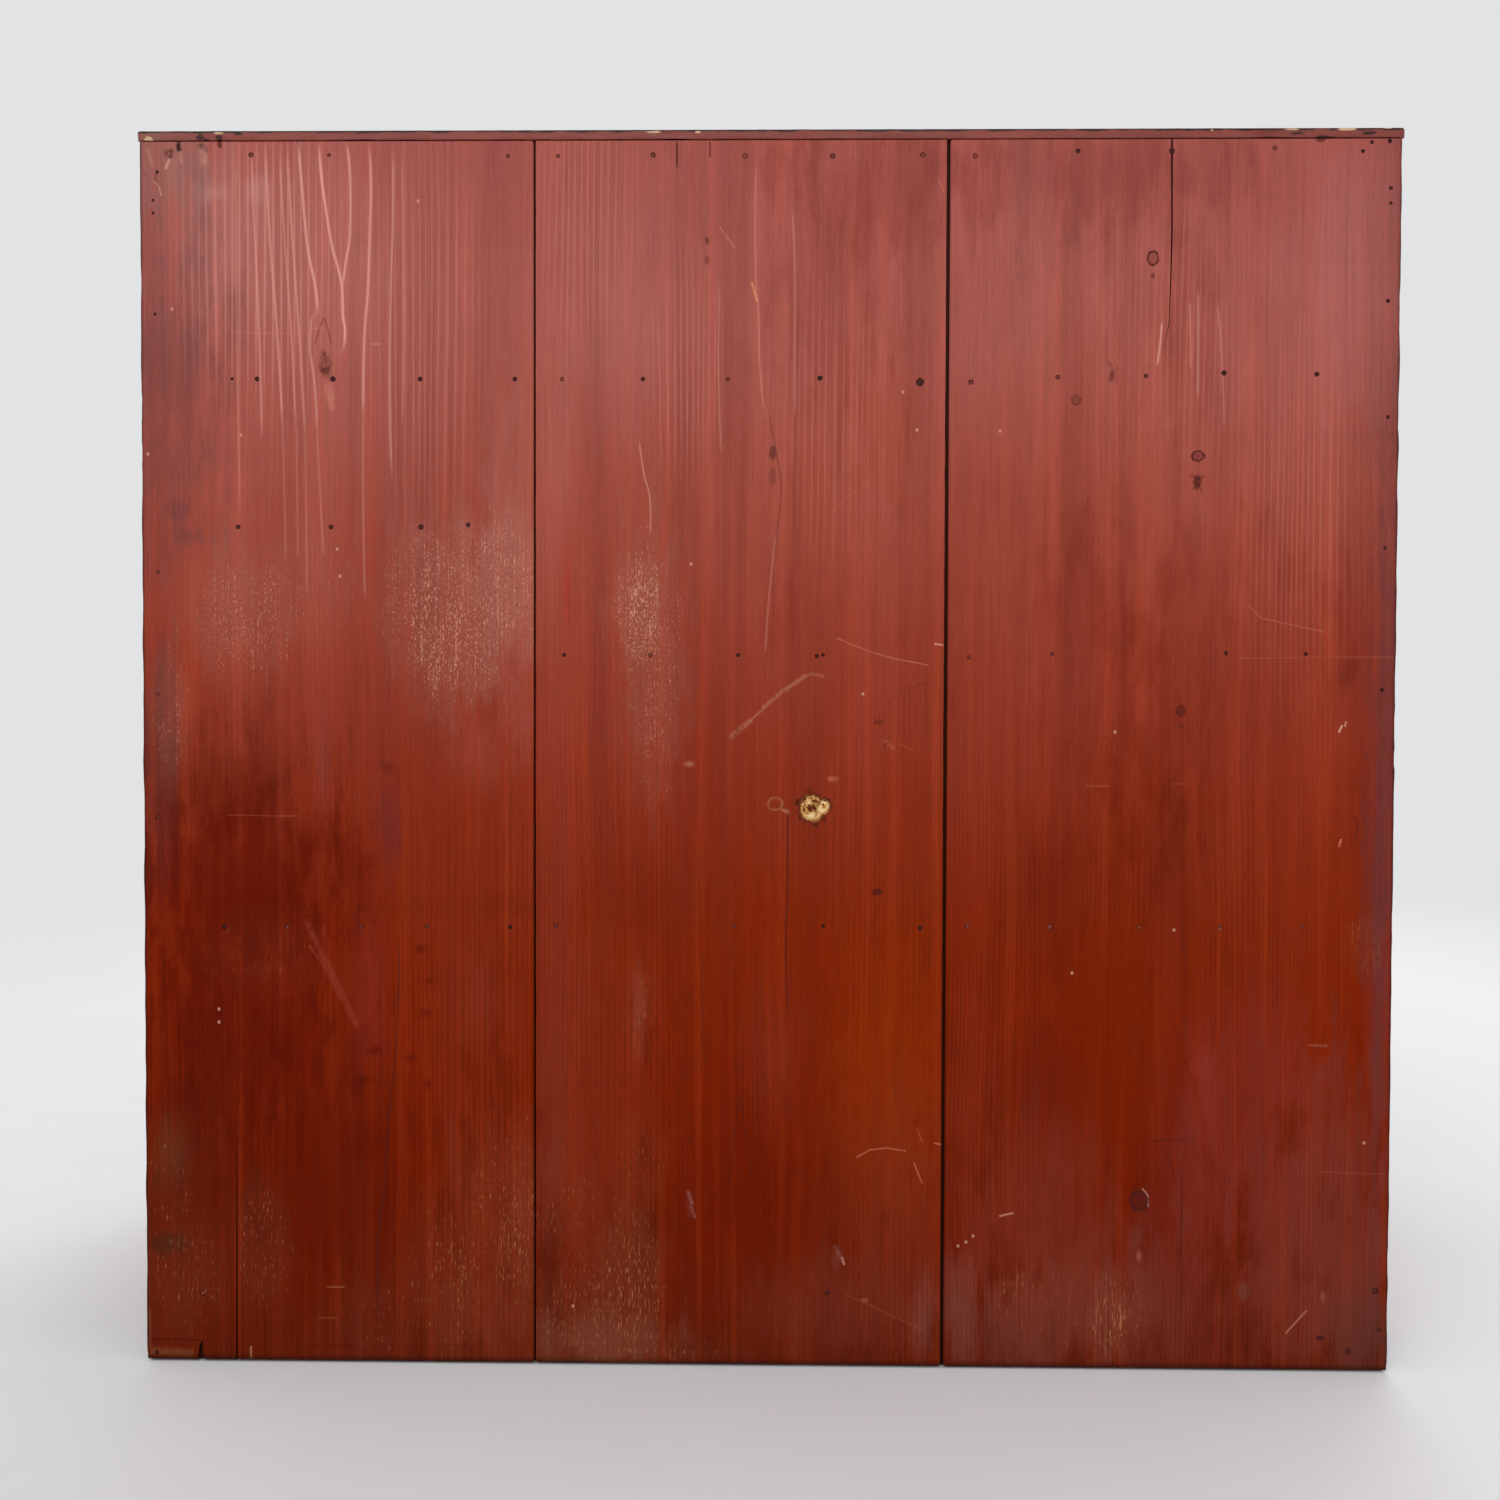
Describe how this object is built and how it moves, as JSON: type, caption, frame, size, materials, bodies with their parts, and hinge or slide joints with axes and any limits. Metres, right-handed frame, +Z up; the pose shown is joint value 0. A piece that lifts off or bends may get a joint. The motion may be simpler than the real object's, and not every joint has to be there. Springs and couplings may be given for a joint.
{
  "type": "tansu chest",
  "caption": "Square Japanese tansu chest in red-stained cedar with drawers on bail handles, a hinged safe door and a pair of sliding doors below.",
  "frame": {"origin": "on the floor, at the centre of the footprint that the chest covers with its handles", "axes": "+Z up, the drawer front faces -Y, the pictured back faces +Y, +X is the right of someone who faces the drawers"},
  "size_m": [0.909, 0.4408, 0.896],
  "materials": {
    "stained_cedar": "iron-oxide red stain on planed cedar, worn satin",
    "lacquered_front": "darker red-brown lacquer, satin",
    "bare_wood": "unfinished aged cedar, matt",
    "black_iron": "forged iron, blackened"
  },
  "bodies": {
    "case": {"top_board": "stained_cedar", "side_board_left": "stained_cedar", "side_board_right": "stained_cedar", "bottom_board": "stained_cedar", "back_board_left": "stained_cedar", "back_board_middle": "stained_cedar", "back_board_right": "stained_cedar", "shelf_upper": "stained_cedar", "shelf_lower": "stained_cedar", "shelf_left": "stained_cedar", "shelf_right": "stained_cedar", "divider": "stained_cedar", "apron": "stained_cedar", "hinge_upper_case_leaf": "black_iron", "hinge_lower_case_leaf": "black_iron"},
    "top_drawer": {"top_drawer_front": "lacquered_front", "top_drawer_side_left": "bare_wood", "top_drawer_side_right": "bare_wood", "top_drawer_back": "bare_wood", "top_drawer_bottom": "bare_wood", "top_drawer_left_handle_plate": "black_iron", "top_drawer_right_handle_plate": "black_iron"},
    "upper_drawer": {"upper_drawer_front": "lacquered_front", "upper_drawer_side_left": "bare_wood", "upper_drawer_side_right": "bare_wood", "upper_drawer_back": "bare_wood", "upper_drawer_bottom": "bare_wood", "upper_drawer_left_handle_plate": "black_iron", "upper_drawer_right_handle_plate": "black_iron"},
    "lower_drawer": {"lower_drawer_front": "lacquered_front", "lower_drawer_side_left": "bare_wood", "lower_drawer_side_right": "bare_wood", "lower_drawer_back": "bare_wood", "lower_drawer_bottom": "bare_wood", "lower_drawer_left_handle_plate": "black_iron", "lower_drawer_right_handle_plate": "black_iron"},
    "small_drawer": {"small_drawer_front": "lacquered_front", "small_drawer_side_left": "bare_wood", "small_drawer_side_right": "bare_wood", "small_drawer_back": "bare_wood", "small_drawer_bottom": "bare_wood", "small_drawer_handle_plate": "black_iron"},
    "safe_door": {"safe_door_panel": "lacquered_front", "safe_door_cleat_upper": "lacquered_front", "safe_door_cleat_lower": "lacquered_front", "hinge_upper_door_leaf": "black_iron", "hinge_lower_door_leaf": "black_iron", "safe_door_ring_plate": "black_iron"},
    "safe_door_ring": {"safe_door_ring": "black_iron"},
    "sliding_door_left": {"sliding_door_left": "lacquered_front"},
    "sliding_door_right": {"sliding_door_right": "lacquered_front"},
    "top_drawer_left_bail": {"top_drawer_left_handle_bail": "black_iron"},
    "top_drawer_right_bail": {"top_drawer_right_handle_bail": "black_iron"},
    "upper_drawer_left_bail": {"upper_drawer_left_handle_bail": "black_iron"},
    "upper_drawer_right_bail": {"upper_drawer_right_handle_bail": "black_iron"},
    "lower_drawer_left_bail": {"lower_drawer_left_handle_bail": "black_iron"},
    "lower_drawer_right_bail": {"lower_drawer_right_handle_bail": "black_iron"},
    "small_drawer_bail": {"small_drawer_handle_bail": "black_iron"}
  },
  "joints": [
    {"name": "top_drawer_slide", "type": "slide", "parent": "case", "child": "top_drawer", "axis": [0, -1, 0], "range_m": [0, 0.32]},
    {"name": "upper_drawer_slide", "type": "slide", "parent": "case", "child": "upper_drawer", "axis": [0, -1, 0], "range_m": [0, 0.32]},
    {"name": "lower_drawer_slide", "type": "slide", "parent": "case", "child": "lower_drawer", "axis": [0, -1, 0], "range_m": [0, 0.32]},
    {"name": "small_drawer_slide", "type": "slide", "parent": "case", "child": "small_drawer", "axis": [0, -1, 0], "range_m": [0, 0.32]},
    {"name": "safe_door_hinge", "type": "hinge", "parent": "case", "child": "safe_door", "pos_m": [0.43575, -0.20715, 0.466], "axis": [0, 0, 1], "range_deg": [0, 165]},
    {"name": "safe_door_ring_swing", "type": "hinge", "parent": "safe_door", "child": "safe_door_ring", "pos_m": [0.2255, -0.21535, 0.466], "axis": [-1, 0, 0], "range_deg": [0, 150]},
    {"name": "left_sliding_door", "type": "slide", "parent": "case", "child": "sliding_door_left", "axis": [1, 0, 0], "range_m": [0, 0.41]},
    {"name": "right_sliding_door", "type": "slide", "parent": "case", "child": "sliding_door_right", "axis": [1, 0, 0], "range_m": [-0.41, 0]},
    {"name": "top_drawer_left_bail_swing", "type": "hinge", "parent": "top_drawer", "child": "top_drawer_left_bail", "pos_m": [-0.2315, -0.21535, 0.81225], "axis": [-1, 0, 0], "range_deg": [0, 150]},
    {"name": "top_drawer_right_bail_swing", "type": "hinge", "parent": "top_drawer", "child": "top_drawer_right_bail", "pos_m": [0.2315, -0.21535, 0.81225], "axis": [-1, 0, 0], "range_deg": [0, 150]},
    {"name": "upper_drawer_left_bail_swing", "type": "hinge", "parent": "upper_drawer", "child": "upper_drawer_left_bail", "pos_m": [-0.2915, -0.21535, 0.6315], "axis": [-1, 0, 0], "range_deg": [0, 150]},
    {"name": "upper_drawer_right_bail_swing", "type": "hinge", "parent": "upper_drawer", "child": "upper_drawer_right_bail", "pos_m": [0.029, -0.21535, 0.6315], "axis": [-1, 0, 0], "range_deg": [0, 150]},
    {"name": "lower_drawer_left_bail_swing", "type": "hinge", "parent": "lower_drawer", "child": "lower_drawer_left_bail", "pos_m": [-0.2915, -0.21535, 0.432], "axis": [-1, 0, 0], "range_deg": [0, 150]},
    {"name": "lower_drawer_right_bail_swing", "type": "hinge", "parent": "lower_drawer", "child": "lower_drawer_right_bail", "pos_m": [0.029, -0.21535, 0.432], "axis": [-1, 0, 0], "range_deg": [0, 150]},
    {"name": "small_drawer_bail_swing", "type": "hinge", "parent": "small_drawer", "child": "small_drawer_bail", "pos_m": [0.31325, -0.21535, 0.6775], "axis": [-1, 0, 0], "range_deg": [0, 150]}
  ]
}
